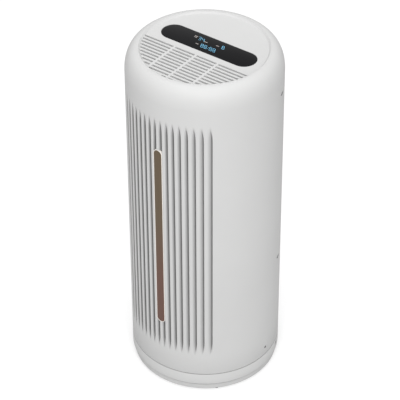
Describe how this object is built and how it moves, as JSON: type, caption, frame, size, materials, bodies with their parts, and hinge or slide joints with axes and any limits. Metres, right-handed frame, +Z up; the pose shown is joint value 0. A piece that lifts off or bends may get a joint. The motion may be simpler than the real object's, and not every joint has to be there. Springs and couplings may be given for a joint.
{
  "type": "air purifier",
  "caption": "Tall round tower air purifier with a fluted front, a slim upright accent strip, a slotted outlet and a dark capsule display on top, and a twist-off base.",
  "frame": {"origin": "centre of the footprint, on the surface that the purifier stands on", "axes": "+Z up; the fluted front with the strip faces -Y; seen from the front, +X is to the right"},
  "size_m": [0.22, 0.22, 0.536],
  "materials": {
    "white_shell": "satin white moulded plastic",
    "gloss_black": "polished tinted window",
    "bronze_strip": "brown bronze, lightly brushed",
    "cream_bezel": "pale cream, smooth",
    "grey_plastic": "moulded, fine grain",
    "black_plastic": "moulded, fine grain",
    "rubber": "matt rubber",
    "filter_paper": "pleated glass-fibre paper",
    "carbon": "granular carbon in mesh",
    "prefilter_mesh": "woven nylon mesh",
    "steel": "plated steel",
    "circuit_board": "green solder mask",
    "winding_copper": "enamelled copper wire on laminations"
  },
  "bodies": {
    "body": {"accent_strip": "bronze_strip", "air_sensor": "black_plastic", "bearing_lower": "steel", "bearing_upper": "steel", "carbon_sleeve": "carbon", "chassis": "grey_plastic", "display_board": "circuit_board", "display_carrier": "grey_plastic", "display_lens": "gloss_black", "display_light_guide": "black_plastic", "fan_guard": "black_plastic", "fan_housing": "grey_plastic", "filter_bottom_cap": "black_plastic", "filter_media": "filter_paper", "filter_seal": "rubber", "filter_top_cap": "black_plastic", "front_shell": "white_shell", "inlet_plate": "grey_plastic", "mains_inlet": "black_plastic", "motor_mount": "grey_plastic", "motor_stator": "winding_copper", "mount_screw_1": "steel", "mount_screw_2": "steel", "mount_screw_3": "steel", "outlet_duct": "grey_plastic", "power_board": "circuit_board", "power_box": "grey_plastic", "prefilter_sleeve": "prefilter_mesh", "rear_screw_1": "steel", "rear_screw_2": "steel", "rear_screw_3": "steel", "rear_screw_4": "steel", "rear_shell": "white_shell", "strip_bezel": "cream_bezel", "top_panel": "white_shell"},
    "twist_base": {"base_cover": "white_shell", "foot_ring": "white_shell", "foot_pad_1": "rubber", "foot_pad_2": "rubber", "foot_pad_3": "rubber", "foot_pad_4": "rubber", "foot_screw_1": "steel", "foot_screw_2": "steel", "foot_screw_3": "steel"},
    "fan": {"impeller": "grey_plastic", "motor_rotor": "steel", "motor_shaft": "steel"}
  },
  "joints": [
    {"name": "base_twist", "type": "hinge", "parent": "body", "child": "twist_base", "pos_m": [0, 0, 0.03], "axis": [0, 0, 1], "range_deg": [0, 20]},
    {"name": "fan_spin", "type": "hinge", "parent": "body", "child": "fan", "pos_m": [0, 0, 0.31], "axis": [0, 0, 1], "continuous": true}
  ]
}
